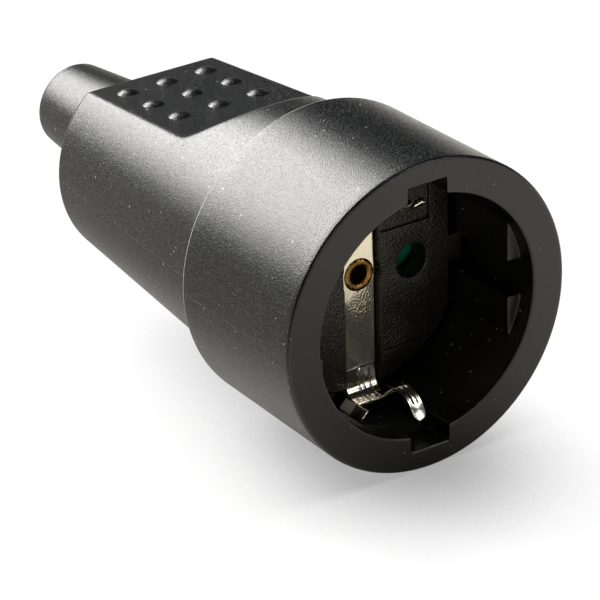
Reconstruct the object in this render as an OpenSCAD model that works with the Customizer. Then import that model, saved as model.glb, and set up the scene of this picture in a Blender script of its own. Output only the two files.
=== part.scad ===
// Portable rubber socket for a two-pin plug with side earth contacts.
// It lies on its barrel with the mouth towards -Y and the cable end towards +Y.
// Inside each module, y runs along the axis from the mouth plane, x across and z up from the axis.

/* [Barrel] */
// Outer diameter at the mouth
mouth_d = 51; // [49:0.5:56]
// Outer diameter at the back edge of the barrel
barrel_back_d = 50; // [48.5:0.5:55]
// Length of the barrel from the mouth to its back edge
barrel_len = 29.6; // [27:0.2:33]
// Rounding of the barrel's outer edges
barrel_edge = 0.5; // [0.3:0.1:1]

/* [Recess] */
// Diameter of the recess that takes the plug
recess_d = 39.4; // [39:0.1:40]
// Depth of the recess from the mouth to the contact face
recess_depth = 17.5; // [17:0.1:18]
// Width of the slots for the earth contacts
notch_w = 7.2; // [6.6:0.2:8]
// Distance of the slot floors from the axis
notch_reach = 22; // [21.7:0.1:22.6]
// Distance of the flat faces of the guide ribs from the axis
rib_x = 17.2; // [16.9:0.1:17.6]
// Half of the free height between an upper and a lower guide rib
rib_gap = 3; // [2.6:0.1:3.6]
// Distance of the ribs' front ends from the mouth
rib_start = 3.1; // [2:0.1:5]
// Bevel of the recess's front edge
mouth_bevel = 0.4; // [0.2:0.1:0.6]
// Distance of the pockets' front ends from the mouth
pocket_start = 5.4; // [4.5:0.1:6.5]
// Reach of the pockets to the left of the axis
pocket_x = 9; // [6:0.5:10]
// Radius of the pockets behind the earth contacts
pocket_r = 23; // [22.8:0.1:23.4]

/* [Grip] */
// Diameter of the grip where it meets the barrel
grip_front_d = 44.6; // [42:0.2:46]
// Diameter of the grip at its back edge
grip_back_d = 36.4; // [34:0.2:38]
// Length of the grip
grip_len = 47.6; // [45:0.2:56]
// Rounding of the grip's back edge
grip_edge = 1; // [0.5:0.1:2]
// Thickness of the rubber wall round the wiring space
wall = 3; // [2.4:0.1:3.4]
// Height of the thumb flats above the axis at the back edge
flat_z = 13.65; // [13:0.05:14.5]
// Slope of the thumb flats in degrees, rising towards the barrel
flat_slope = 4.8; // [3:0.1:6]
// Length of the thumb flats from the back edge
flat_len = 30.3; // [27:0.1:33]
// Slope of the ramp at the front of a thumb flat in degrees
ramp_slope = 36.3; // [30:0.1:50]

/* [Grip bumps] */
// Diameter of a bump
bump_d = 3.6; // [3:0.1:5.5]
// Height of a bump
bump_h = 0.6; // [0.5:0.1:1.4]
// Distance between bumps across the grip
bump_pitch_x = 7.45; // [6:0.05:8]
// Distance between bumps along the grip
bump_pitch_y = 7.65; // [6:0.05:8.5]
// Distance of the last row of bumps from the back edge
bump_back = 5.65; // [4:0.05:7]

/* [Cable sleeve] */
// Diameter of the sleeve at the grip
sleeve_base_d = 19; // [17.5:0.1:21]
// Diameter of the sleeve at its end
sleeve_end_d = 14.6; // [14:0.1:17]
// Length of the sleeve
sleeve_len = 24.3; // [20:0.1:30]
// Rounding of the sleeve's end
sleeve_edge = 0.9; // [0.4:0.1:1.2]
// Diameter of the cable passage
cable_d = 9.2; // [8:0.1:9.6]

/* [Contact face] */
// Diameter of the contact face and of the insert behind it
insert_d = 38; // [37.4:0.1:38.1]
// Width over the two flats at the sides of the contact face
insert_flats_w = 32.8; // [32:0.1:33.4]
// Height of the keys that stand out from the flats
key_h = 4.4; // [3:0.1:4.8]
// Thickness of the contact face
face_t = 3.5; // [3.2:0.1:4.5]
// Distance between the centres of the two contact holes
hole_pitch = 19; // [18.8:0.1:19.2]
// Diameter of a contact hole
hole_d = 5.6; // [5.3:0.1:6.2]
// Bevel of a contact hole's edge
hole_edge = 0.2; // [0.1:0.05:0.5]
// Width of the groove for the earth strip
groove_w = 6.4; // [6.2:0.1:7]
// Diameter of the round part of the groove at the rivet
groove_round_d = 7.2; // [7:0.1:8]
// Depth of the shallow panels in the contact face
panel_depth = 0.45; // [0.2:0.05:0.8]
// Width of a shallow panel
panel_w = 9.15; // [7:0.05:9.5]
// Height of a shallow panel
panel_h = 7.75; // [5:0.05:8]
// Distance from the axis to the near edge of a panel, sideways
panel_x = 3.7; // [3.5:0.05:4.2]
// Distance from the axis to the near edge of a panel, up or down
panel_z = 6.25; // [6:0.05:7]

/* [Insert] */
// Height of the collar that snaps into the rubber
collar_h = 1.3; // [0.8:0.1:1.8]
// Width of the collar along the axis
collar_w = 2; // [1.5:0.1:3]
// Distance from the contact face's back to the collar
collar_back = 5.4; // [4:0.1:6]
// Distance from the contact face's back to the insert's shoulder
shoulder_back = 9.3; // [8.5:0.1:11]
// Step from the insert's shoulder in to the narrower part behind it
shoulder_step = 2.2; // [1.8:0.1:3]
// Thread diameter of the screws that hold the insert together
insert_screw_d = 2.4; // [2:0.1:2.6]
// Head diameter of those screws
insert_head_d = 4; // [3.4:0.1:4.4]
// Head height of those screws
insert_head_h = 1.6; // [1.2:0.1:2]
// Depth of those heads below the insert's shoulder
insert_head_sink = 1.8; // [1.5:0.1:2.2]
// Length of those screws' threads inside the contact face
insert_thread_in = 1.8; // [1.4:0.1:2]
// Distance of those screws from the insert's edge
insert_screw_in = 2.75; // [2.5:0.05:3]
// Width of the slots in all small screws
driver_slot = 0.6; // [0.4:0.05:0.8]

/* [Earth contacts] */
// Width of the earth strip
strip_w = 5.8; // [5.4:0.1:6]
// Thickness of the sheet
sheet_t = 0.7; // [0.5:0.05:0.8]
// Depth of the strip's surface below the contact face
strip_sink = 0.9; // [0.6:0.05:1.1]
// Distance of the strip's forward arms from the axis
arm_reach = 20.15; // [19.9:0.05:20.4]
// Distance of the arms' front ends from the mouth
arm_front = 15.1; // [14.5:0.1:16]
// The same for the upper arm, which stands further forward
arm_front_top = 13.6; // [13:0.1:15.5]
// Inner radius of the bend between strip and arm
bend_r = 0.6; // [0.4:0.1:0.9]
// Length of the straight part of a contact tongue
tongue_run = 5.4; // [5:0.1:5.8]
// Rise of the straight part of a contact tongue in degrees
tongue_rise = 39; // [36:1:41]
// Radius of the crest of a contact tongue
crest_r = 2; // [1.4:0.1:3]
// Radius of the curve from the crest to the tip
tip_curve_r = 4.8; // [4:0.1:5]
// How far the upper tongue stands further in than the lower one, in degrees
tongue_set = 17; // [0:1:18]
// Heading of a tongue behind its crest, in degrees below the axis
crest_turn = 15; // [10:1:20]
// Heading of a tongue at its tip, in degrees below the axis
tip_turn = 78; // [70:1:82]
// Width of a tongue
tongue_w = 2.35; // [2:0.05:2.6]
// Free space between a tongue's root and its arm
tongue_gap = 0.15; // [0.1:0.05:0.3]
// Distance of a tongue's root outwards from the inner face of its arm
root_out = 0.15; // [0.1:0.05:0.2]
// Length of the side ear on each arm
ear_len = 5.2; // [4:0.1:6.6]
// Height of the side ear, along its slope
ear_h = 2.1; // [1.2:0.1:2.2]
// Slope of the side ears in degrees from upright
ear_slope = 42; // [35:1:50]

/* [Shutter] */
// Depth of the space that the shutter turns in
shutter_space = 2.8; // [2.6:0.1:3.4]
// Thickness of the shutter
shutter_t = 2.3; // [2:0.1:2.4]
// Diameter of the shutter's round wings
wing_d = 7.4; // [7:0.1:7.8]
// Thickness of a wing at its thin edge
wing_thin = 0.45; // [0.4:0.05:0.8]
// Diameter of the shutter's hub
hub_d = 8.4; // [7:0.1:9]
// Width of the arms between hub and wings
shutter_arm_w = 4.4; // [3.6:0.1:5]
// Turn that opens the shutter, in degrees
shutter_turn = 42; // [41:1:45]
// Radius of the stops that end the shutter's turn
stop_r = 1; // [0.8:0.1:1.2]
// Wire diameter of the return spring
spring_wire = 0.4; // [0.3:0.05:0.5]
// Free space between the spring's turns
spring_space = 0.5; // [0.4:0.05:0.6]
// Distance from the rivet to the middle of the spring's wire
spring_out = 1.15; // [1:0.05:1.2]
// Number of turns of the return spring
spring_turns = 3; // [2:1:3]

/* [Contacts and terminals] */
// Diameter of the plug's pins
pin_d = 4.8; // [4.7:0.05:4.9]
// Length of the plug's pins
pin_len = 19; // [18:0.1:19.5]
// Wall of a contact sleeve
sleeve_wall = 0.88; // [0.6:0.01:1]
// Width of the slots in a contact sleeve
sleeve_slot = 0.8; // [0.5:0.1:1]
// Wall of a clip round a contact sleeve
clip_wall = 0.6; // [0.4:0.05:0.8]
// Length of a clip
clip_len = 3.5; // [2.5:0.1:5]
// Distance from a sleeve's mouth to its clip
clip_back = 2.4; // [1.5:0.1:4]
// Opening of a clip
clip_open = 2.4; // [1.6:0.1:3]
// Thickness of a sleeve's closed end
cap_t = 1.2; // [0.8:0.1:1.6]
// Length of a contact's tail inside its terminal block
tail_len = 3.6; // [2.5:0.1:4]
// Thickness of the earth terminal's plate
plate_t = 0.8; // [0.6:0.05:1]
// Height of the earth terminal's wire hole above the axis
earth_z = 7.6; // [7.2:0.1:7.8]
// Width of a terminal block
block_w = 7.4; // [6.5:0.1:8]
// Length of a terminal block
block_len = 9; // [8:0.1:10]
// Height of the blocks of the line and neutral terminals
block_h = 8; // [7:0.1:8.5]
// Height of the earth terminal's block
earth_h = 7; // [6.4:0.1:7.2]
// Diameter of the wire hole in a terminal block
wire_d = 3.5; // [3:0.1:3.8]
// Thread diameter of the terminal screws
screw_d = 3; // [2.5:0.1:3.5]
// Distance of the terminal screws from the blocks' back faces
screw_back = 3.2; // [2.8:0.1:3.8]
// Height that a line or neutral terminal screw stands out of its block
screw_out = 1.6; // [0.5:0.1:2]
// The same for the earth terminal screw
earth_screw_out = 0.5; // [0.2:0.1:0.8]
// Depth of the terminal screws' slots
slot_depth = 0.9; // [0.6:0.1:1.2]

/* [Rivet] */
// Outer diameter of the tubular rivet's shank
rivet_d = 4; // [3.8:0.1:4.2]
// Inner diameter of the tubular rivet
rivet_hole_d = 2.8; // [2.4:0.1:3]
// Height of the rivet's rolled front rim
rivet_rim_h = 0.4; // [0.3:0.05:0.6]
// Diameter of the rivet's rolled front rim
rivet_rim_d = 5.5; // [5.2:0.1:5.8]
// Thickness of the rivet's back flange
rivet_back_t = 0.6; // [0.4:0.05:0.8]

/* [Cord clamp] */
// Width of the cord clamp
clamp_w = 22; // [20:0.5:23]
// Length of the cord clamp along the cable
clamp_len = 9; // [8:0.5:10]
// Distance from the terminals to the cord clamp
clamp_gap = 9.6; // [7:0.1:11]
// Distance of the rails from the clamp's sides
rail_inset = 0.5; // [0:0.1:1]
// Distance between the two clamp screws
clamp_screw_pitch = 16; // [15.5:0.1:16.5]
// Width of the two rails that carry the clamp
rail_w = 2.5; // [2:0.1:2.8]
// Height of the rails
rail_h = 3; // [2:0.1:4]
// Length of the rails' ends inside the insert
rail_grip = 3; // [2:0.5:5]
// Depth of the rails' undersides below the axis
rail_low = 9.3; // [8.5:0.1:9.6]
// Gap between the two halves of the clamp
clamp_open = 0.8; // [0.4:0.1:1.2]
// Thread diameter of the clamp screws
clamp_screw_d = 3.2; // [2.5:0.1:3.5]
// Head diameter of the clamp screws
clamp_head_d = 5.4; // [5:0.1:5.8]
// Head height of the clamp screws
clamp_head_h = 1.8; // [1.4:0.1:2.4]
// Thickness of the saddle over the cable
saddle_wall = 2.4; // [1.6:0.1:2.8]
// Thickness of the saddle's ears under the screw heads
saddle_ear = 2.6; // [2:0.1:3.2]

/* [Hidden] */

$fn = 72;
eps = 0.01;
gap = 0.15;
loose = 0.3;
fit = 0.05;

back_y = barrel_len + grip_len;
total_len = back_y + sleeve_len;
hole_x = hole_pitch / 2;

// The contact face stands in a bore a little wider than itself and seats in a closer one.
face_y = recess_depth;
seat_back = 2.5;
seat_y = face_y + seat_back;
base_y = face_y + face_t;
chamber_y = base_y + shutter_space;
strip_y = face_y + strip_sink;

// The insert's collar snaps into a groove of the rubber. The boss reaches a little past the sleeves' closed
// ends, and the terminal blocks stand clear of it.
boss_over = 0.2;
block_clear = 0.1;
collar_y = base_y + collar_back;
collar_r = insert_d / 2 + collar_h;
shoulder_y = base_y + shoulder_back;
boss_r = insert_d / 2 - shoulder_step;
sleeve_y = chamber_y + loose;
pin_clear = 0.02;
sleeve_r = pin_d / 2 + pin_clear;
sleeve_out = sleeve_r + sleeve_wall;
sleeve_end = face_y + pin_len + loose;
cap_end = sleeve_end + cap_t;
boss_end = cap_end + boss_over;
block_y = boss_end + block_clear;
block_end = block_y + block_len;
clamp_y = block_end + clamp_gap;
clamp_end = clamp_y + clamp_len;

// The line of a thumb flat: height above the axis at a distance y from the mouth.
function flat_at(y) = flat_z + (back_y - y) * tan(flat_slope);
knee_y = back_y - flat_len;
knee_z = flat_at(knee_y);
cut_top = mouth_d / 2 + 5;
cut_y = knee_y - (cut_top - knee_z) / tan(ramp_slope);

// The chamber behind the insert keeps the wall's thickness from the outside of the grip.
function grip_r(y) = grip_front_d / 2 + (grip_back_d - grip_front_d) / 2 * (y - barrel_len) / grip_len;
back_spare = 1.2;
boss_clear = 0.4;
chamber_back = back_y - wall - back_spare;
chamber_front_r = boss_r + boss_clear;

// Points of an arc from angle a to angle b.
function arc(c, r, a, b, n = 5) =
    [for (i = [0:n]) let (t = a + (b - a) * i / n) c + r * [cos(t), sin(t)]];

// Stations [y, distance from the axis, heading] along a contact tongue, from its root to its tip.
function turned(p, r, a, b, n) = [for (i = [1:n]) let (h = a + (b - a) * i / n)
    [p[0] - r * (sin(a) - sin(h)), p[1] - r * (cos(h) - cos(a)), h]];
tongue_root = [arm_front - sheet_t / 2 - tongue_gap, arm_reach + root_out, tongue_rise];
tongue_bend = [tongue_root[0] - tongue_run * cos(tongue_rise), tongue_root[1] - tongue_run * sin(tongue_rise),
    tongue_rise];
crest = turned(tongue_bend, crest_r, tongue_rise, -crest_turn, 8);
tip = turned(crest[7], tip_curve_r, -crest_turn, -tip_turn, 8);
tongue_line = concat([tongue_root, tongue_bend], crest, tip);
tongue_x = strip_w / 2 - tongue_w / 2;
tip_reach = tip[7][1];

// Puts a shape drawn in the axis frame where the socket lies.
module place() {
    translate([0, -total_len / 2, mouth_d / 2])
        children();
}

// Turns a flat shape so that it is extruded along the axis, from the mouth towards the cable.
module axial(y = 0) {
    translate([0, y, 0])
        mirror([0, 1, 0])
            rotate([90, 0, 0])
                children();
}

// A side view [y, z] extruded across the axis, between two values of x.
module side(x0, x1) {
    translate([x0, 0, 0])
        rotate([90, 0, 90])
            linear_extrude(x1 - x0)
                children();
}

// A block between two corners.
module block(a, b) {
    translate(a)
        cube(b - a);
}

// A drum along the axis between two distances from the mouth.
module drum(r, y0, y1, x = 0) {
    translate([x, 0, 0])
        axial(y0)
            cylinder(r = r, h = y1 - y0);
}

// A shape of revolution from points [radius, y].
module revolved(points) {
    axial()
        rotate_extrude()
            polygon(points);
}

module both_ways() {
    children();
    mirror([0, 0, 1])
        children();
}

module housing_outside() {
    mr = mouth_d / 2;
    br = barrel_back_d / 2;
    gf = grip_front_d / 2;
    gb = grip_back_d / 2;
    sb = sleeve_base_d / 2;
    se = sleeve_end_d / 2;
    e = barrel_edge;
    revolved(concat(
        [[0, 0]],
        arc([mr - e, e], e, -90, 0),
        arc([br - e, barrel_len - e], e, 0, 90),
        arc([gf + e, barrel_len + e], e, 270, 180),
        arc([gb - grip_edge, back_y - grip_edge], grip_edge, 0, 90),
        arc([sb + grip_edge, back_y + grip_edge], grip_edge, 270, 180),
        arc([se - sleeve_edge, total_len - sleeve_edge], sleeve_edge, 0, 90),
        [[0, total_len]]));
}

// What is cut away above a thumb flat and its ramp.
module flat_cut() {
    side(-mouth_d / 2, mouth_d / 2)
        polygon([[back_y + 1, flat_at(back_y + 1)], [knee_y, knee_z], [cut_y, cut_top],
            [back_y + 1, cut_top]]);
}

module bump() {
    r = (bump_d * bump_d / 4 + bump_h * bump_h) / (2 * bump_h);
    a = asin((r - bump_h) / r);
    rotate_extrude()
        polygon(concat([[0, -0.5], [bump_d / 2, -0.5]], arc([0, bump_h - r], r, a, 90, 8)));
}

module bumps() {
    for (i = [-1:1])
        for (j = [0:2]) {
            y = back_y - bump_back - j * bump_pitch_y;
            translate([i * bump_pitch_x, y, flat_at(y)])
                rotate([-flat_slope, 0, 0])
                    bump();
        }
}

module guide_ribs() {
    for (s = [-1, 1])
        for (t = [0, 1])
            mirror([0, 0, t])
                mirror([s < 0 ? 1 : 0, 0, 0])
                    block([rib_x, rib_start, rib_gap], [recess_d, seat_y + eps, recess_d]);
}

module recess_cut() {
    difference() {
        drum(recess_d / 2, -1, seat_y);
        guide_ribs();
    }
    wide = recess_d / 2 + mouth_bevel;
    revolved([[0, -1], [wide, -1], [wide, 0], [recess_d / 2, mouth_bevel], [0, mouth_bevel]]);
    block([-notch_w / 2, -1, -notch_reach], [notch_w / 2, seat_y, notch_reach]);
    intersection() {
        drum(pocket_r, pocket_start, seat_y);
        block([-pocket_x, 0, -mouth_d], [notch_w / 2, seat_y, mouth_d]);
    }
}

// The space behind the insert. Its roof and floor follow the ramps and thumb flats outside.
module chamber_cut() {
    r1 = chamber_front_r;
    r2 = grip_r(chamber_back) - wall;
    inner_knee = knee_y - wall * (1 / cos(ramp_slope) - 1) / (tan(ramp_slope) - tan(flat_slope));
    front = shoulder_y - 1;
    back = chamber_back + 1;
    roof = [[front, flat_at(inner_knee) - wall + (inner_knee - front) * tan(ramp_slope)],
        [inner_knee, flat_at(inner_knee) - wall], [back, flat_at(back) - wall]];
    intersection() {
        revolved([[0, shoulder_y], [r1, shoulder_y], [r2, chamber_back], [0, chamber_back]]);
        side(-mouth_d, mouth_d)
            polygon(concat(roof, [for (i = [2:-1:0]) [roof[i][0], -roof[i][1]]]));
    }
}

module housing() {
    color([0.07, 0.07, 0.068])
        place() {
            difference() {
                housing_outside();
                both_ways() flat_cut();
                recess_cut();
                difference() {
                    drum(insert_d / 2 + gap, face_y - gap, seat_y);
                    guide_ribs();
                }
                drum(insert_d / 2 + gap, seat_y - eps, shoulder_y + gap);
                drum(collar_r + gap, collar_y - gap, collar_y + collar_w + gap);
                chamber_cut();
                drum(cable_d / 2, chamber_back - 1, total_len + 1);
            }
            both_ways() bumps();
        }
}

module face_outline() {
    intersection() {
        circle(d = insert_d);
        union() {
            square([insert_flats_w, insert_d + 1], center = true);
            square([insert_d + 1, key_h], center = true);
        }
    }
}

module contact_face() {
    color([0.1, 0.1, 0.09])
        place()
            difference() {
                axial(face_y)
                    linear_extrude(face_t)
                        face_outline();
                axial(face_y - 1)
                    linear_extrude(1 + strip_sink + sheet_t) {
                        square([groove_w, insert_d + 2], center = true);
                        circle(d = groove_round_d);
                    }
                for (t = [0, 1])
                    mirror([0, 0, t])
                        block([panel_x, face_y - 1, panel_z],
                            [panel_x + panel_w, face_y + panel_depth, panel_z + panel_h]);
                for (s = [-1, 1]) {
                    drum(hole_d / 2, face_y - 1, base_y + 1, s * hole_x);
                    translate([s * hole_x, 0, 0])
                        revolved([[0, face_y - eps], [hole_d / 2 + hole_edge, face_y - eps],
                            [hole_d / 2 - eps, face_y + hole_edge], [0, face_y + hole_edge]]);
                }
                drum(rivet_d / 2 + fit, face_y, base_y + 1);
                insert_screw_places()
                    drum(insert_screw_d / 2, base_y - 2, base_y + 1);
            }
}

insert_screw_r = insert_d / 2 - insert_screw_in;
insert_head_r = insert_head_d / 2;
insert_head_y = shoulder_y - insert_head_h - insert_head_sink;

module insert_screw_places() {
    for (a = [45, 225])
        translate([insert_screw_r * cos(a), 0, insert_screw_r * sin(a)])
            children();
}

wing_r = wing_d / 2;
shutter_room_r = hole_x + wing_r + 0.5;
stop_angle = 2 * asin((wing_r + stop_r + gap) / (2 * hole_x));

module stop_posts() {
    for (s = [0, 180])
        for (a = [-stop_angle, shutter_turn + stop_angle])
            rotate([0, -(s + a), 0])
                drum(stop_r, base_y + gap, chamber_y + eps, hole_x);
}

rail_z = -rail_low;
rail_x = clamp_w / 2 - rail_w / 2 - rail_inset;
cradle_z = -clamp_open / 2;

module insert_base() {
    color([0.12, 0.12, 0.11])
        place() {
            difference() {
                union() {
                    drum(insert_d / 2, base_y, shoulder_y);
                    drum(collar_r, collar_y, collar_y + collar_w);
                    drum(boss_r, shoulder_y - eps, boss_end);
                }
                rails(boss_end - rail_grip - fit, boss_end + 1, fit);
                drum(shutter_room_r, base_y - 1, chamber_y);
                for (s = [-1, 1]) {
                    drum(sleeve_out + gap, chamber_y - 1, boss_end + 1, s * hole_x);
                    drum(clip_r + gap, clip_y - gap, boss_end + 1, s * hole_x);
                }
                drum(rivet_d / 2 + fit, base_y, boss_end + 1);
                drum(spring_r + spring_wire / 2 + 0.3, chamber_y - 1, spring_end + 0.3);
                insert_screw_places() {
                    drum(insert_screw_d / 2 + 0.1, base_y - 1, boss_end);
                    drum(insert_head_r + gap, insert_head_y, boss_end + 1);
                }
            }
            stop_posts();
        }
}

// The two rails that carry the clamp, between two distances from the mouth.
module rails(y0, y1, spare = 0) {
    for (s = [-1, 1])
        translate([s * rail_x, 0, 0])
            block([-rail_w / 2 - spare, y0, rail_z - spare],
                [rail_w / 2 + spare, y1, rail_z + rail_h + spare]);
}

module cord_clamp_base() {
    color([0.14, 0.14, 0.13])
        place()
            difference() {
                union() {
                    rails(boss_end - rail_grip, clamp_end);
                    block([-clamp_w / 2, clamp_y, rail_z], [clamp_w / 2, clamp_end, cradle_z]);
                }
                drum(cable_d / 2, clamp_y - 1, clamp_end + 1);
                clamp_screw_places()
                    cylinder(d = clamp_screw_d + 0.1, h = 30, center = true);
            }
}

module clamp_screw_places() {
    for (s = [-1, 1])
        translate([s * clamp_screw_pitch / 2, (clamp_y + clamp_end) / 2, 0])
            children();
}

shutter_y = base_y + (shutter_space - shutter_t) / 2;

// The wings slope, so that the plug's pins push the shutter round.
module shutter() {
    slope_rise = shutter_t - wing_thin;
    color([0, 0.42, 0.27])
        place()
            difference() {
                axial(shutter_y)
                    linear_extrude(shutter_t)
                        difference() {
                            union() {
                                circle(d = hub_d);
                                square([hole_pitch, shutter_arm_w], center = true);
                                for (s = [-1, 1])
                                    translate([s * hole_x, 0])
                                        circle(r = wing_r);
                            }
                            circle(d = rivet_d + 2 * fit);
                        }
                for (s = [0, 1])
                    rotate([0, s * 180, 0])
                        side(hub_d / 2 + 1, hole_x + wing_r + 1)
                            polygon([[shutter_y - 1, wing_r], [shutter_y, wing_r],
                                [shutter_y + slope_rise, -wing_r], [shutter_y + slope_rise, -wing_r - 1],
                                [shutter_y - 1, -wing_r - 1]]);
            }
}

spring_r = rivet_d / 2 + spring_out;
spring_pitch = spring_wire + spring_space;
spring_start = chamber_y + spring_wire / 2 + 0.1;
spring_end = spring_start + spring_pitch * spring_turns + spring_wire / 2;
spring_rings = 12;
spring_sides = 6;

// Centre of the wire after a number of rings.
function coil(i) = let (a = 360 * i / spring_rings)
    [spring_r * cos(a), spring_start + spring_pitch * i / spring_rings, spring_r * sin(a)];

// Least distance between the surfaces of neighbouring turns.
spring_gap = min([for (i = [0:spring_rings * (spring_turns - 1)]) norm(coil(i + spring_rings) - coil(i))])
    - spring_wire;
echo(shutter_spring_gap = spring_gap);

module shutter_spring() {
    n = spring_rings * spring_turns;
    m = spring_sides;
    points = [for (i = [0:n]) for (j = [0:m - 1]) let (a = 360 * i / spring_rings, b = 360 * j / m)
        coil(i) + spring_wire / 2 * [cos(a) * cos(b), sin(b), sin(a) * cos(b)]];
    sides = [for (i = [0:n - 1]) for (j = [0:m - 1]) let (k = (j + 1) % m)
        each [[i * m + j, i * m + k, (i + 1) * m + k], [i * m + j, (i + 1) * m + k, (i + 1) * m + j]]];
    start_cap = [for (j = [1:m - 2]) [0, j + 1, j]];
    end_cap = [for (j = [1:m - 2]) [n * m, n * m + j, n * m + j + 1]];
    color([0.7, 0.7, 0.72])
        place()
            polyhedron(points, concat(sides, start_cap, end_cap));
}

// One half of the strip seen from the side, from the axis to the front end of its arm.
module strip_half(front) {
    c = [strip_y - bend_r, arm_reach - bend_r];
    side(-strip_w / 2, strip_w / 2) {
        polygon([[strip_y, -eps], [strip_y + sheet_t, -eps], [strip_y + sheet_t, c[1]], [strip_y, c[1]]]);
        polygon(concat(arc(c, bend_r, 0, 90, 6), arc(c, bend_r + sheet_t, 90, 0, 8)));
        polygon([[front, arm_reach], [c[0] + eps, arm_reach], [c[0] + eps, arm_reach + sheet_t],
            [front, arm_reach + sheet_t]]);
    }
    ear();
}

// The ear slopes outwards from the arm's left edge and runs on past the arm's front end.
module ear() {
    y1 = strip_y - bend_r;
    translate([-strip_w / 2, 0, arm_reach])
        rotate([0, -ear_slope, 0])
            block([0, y1 - ear_len, 0], [sheet_t, y1, ear_h]);
}

module earth_strip() {
    color([0.78, 0.76, 0.7])
        place()
            difference() {
                union() {
                    strip_half(arm_front_top);
                    mirror([0, 0, 1])
                        strip_half(arm_front);
                }
                drum(rivet_d / 2 + fit, face_y, base_y);
            }
}

module tongue() {
    h = sheet_t / 2;
    inner = [for (p = tongue_line) [p[0] + h * sin(p[2]), p[1] - h * cos(p[2])]];
    outer = [for (i = [len(tongue_line) - 1:-1:0]) let (p = tongue_line[i])
        [p[0] - h * sin(p[2]), p[1] + h * cos(p[2])]];
    color([0.78, 0.76, 0.7])
        intersection() {
            union() {
                side(tongue_x - tongue_w / 2, tongue_x + tongue_w / 2)
                    polygon(concat(inner, outer));
                translate([tongue_x - tongue_w / 2, tongue_root[0], tongue_root[1]])
                    rotate([0, 90, 0])
                        cylinder(d = sheet_t, h = tongue_w);
            }
            union() {
                block([0, crest[0][0], 0], [strip_w, strip_y, mouth_d]);
                translate([tongue_x, 0, 0])
                    axial()
                        linear_extrude(crest[0][0] + eps) {
                            translate([0, tip_reach - tongue_w / 2])
                                circle(d = tongue_w);
                            translate([-tongue_w / 2, 0])
                                square([tongue_w, tip_reach - tongue_w / 2]);
                        }
            }
        }
}

// The upper tongue turns in about its round root and moves forward with its arm.
module earth_tongue_top() {
    place()
        translate([0, tongue_root[0] + arm_front_top - arm_front, tongue_root[1]])
            rotate([tongue_set, 0, 0])
                translate([0, -tongue_root[0], -tongue_root[1]])
                    tongue();
}

module earth_tongue_bottom() {
    place()
        mirror([0, 0, 1])
            tongue();
}

// A tube with a rolled rim over the strip and a flange behind the earth terminal's plate.
module centre_rivet() {
    ri = rivet_hole_d / 2;
    ro = rivet_d / 2;
    rim = rivet_rim_d / 2;
    roll = (rim - ri) / 2;
    plate_end = boss_end + plate_t;
    color([0.72, 0.5, 0.2])
        place()
            revolved(concat(
                [for (i = [0:8]) let (t = 180 * i / 8)
                    [ri + roll - roll * cos(t), strip_y - rivet_rim_h * sin(t)]],
                [[ro, strip_y], [ro, plate_end], [rim, plate_end], [rim, plate_end + rivet_back_t],
                    [ri, plate_end + rivet_back_t]]));
}

clip_r = sleeve_out + clip_wall;
clip_y = sleeve_y + clip_back;
tail_r = wire_d / 2 - 0.1;
tail_end = block_y + tail_len;

module contact(s) {
    color([0.75, 0.55, 0.25])
        place()
            difference() {
                translate([s * hole_x, 0, 0])
                    revolved([[sleeve_r + 0.3, sleeve_y], [sleeve_out, sleeve_y], [sleeve_out, cap_end],
                        [tail_r, cap_end], [tail_r, tail_end], [0, tail_end], [0, sleeve_end],
                        [sleeve_r, sleeve_end], [sleeve_r, sleeve_y + 0.3]]);
                translate([s * hole_x, 0, 0])
                    block([-sleeve_slot / 2, sleeve_y - 1, -sleeve_out - 1],
                        [sleeve_slot / 2, sleeve_end - 3, sleeve_out + 1]);
            }
}

module line_contact() {
    contact(1);
}

module neutral_contact() {
    contact(-1);
}

// A split steel ring that presses the halves of a contact sleeve together.
module contact_clip(s) {
    color([0.6, 0.6, 0.62])
        place()
            translate([s * hole_x, 0, 0])
                axial(clip_y)
                    linear_extrude(clip_len)
                        difference() {
                            circle(r = clip_r);
                            circle(r = sleeve_out + 0.02);
                            translate([0, -clip_open / 2])
                                square([clip_r + 1, clip_open]);
                        }
}

module line_contact_clip() {
    contact_clip(1);
}

module neutral_contact_clip() {
    contact_clip(-1);
}

module terminal_block(x, z, h) {
    difference() {
        translate([x, 0, z])
            block([-block_w / 2, block_y, -h / 2], [block_w / 2, block_end, h / 2]);
        translate([0, 0, z])
            drum(wire_d / 2, block_y - 1, block_end + 1, x);
        translate([x, block_end - screw_back, z])
            cylinder(d = screw_d + 0.1, h = h);
    }
}

module line_terminal() {
    color([0.76, 0.6, 0.3])
        place() terminal_block(hole_x, 0, block_h);
}

module neutral_terminal() {
    color([0.76, 0.6, 0.3])
        place() terminal_block(-hole_x, 0, block_h);
}

module earth_terminal() {
    color([0.76, 0.6, 0.3])
        place()
            difference() {
                union() {
                    terminal_block(0, earth_z, earth_h);
                    block([-block_w / 2, boss_end, -0.5], [block_w / 2, boss_end + plate_t, earth_z]);
                    drum(block_w / 2, boss_end, boss_end + plate_t);
                }
                drum(rivet_d / 2 + fit, boss_end - 1, boss_end + plate_t + 1);
                translate([0, 0, earth_z])
                    drum(wire_d / 2, boss_end + plate_t, block_end + 1);
            }
}

// A slotted grub screw that stands a little proud of its block.
module terminal_screw(x, z, h, proud) {
    low = z + 0.6;
    high = z + h / 2 + proud;
    color([0.62, 0.62, 0.64])
        place()
            translate([x, block_end - screw_back, 0])
                difference() {
                    translate([0, 0, low])
                        cylinder(d = screw_d, h = high - low);
                    translate([-driver_slot / 2, -screw_d, high - slot_depth])
                        cube([driver_slot, 2 * screw_d, 2]);
                }
}

module line_terminal_screw() {
    terminal_screw(hole_x, 0, block_h, screw_out);
}

module neutral_terminal_screw() {
    terminal_screw(-hole_x, 0, block_h, screw_out);
}

module earth_terminal_screw() {
    terminal_screw(0, earth_z, earth_h, earth_screw_out);
}

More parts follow.
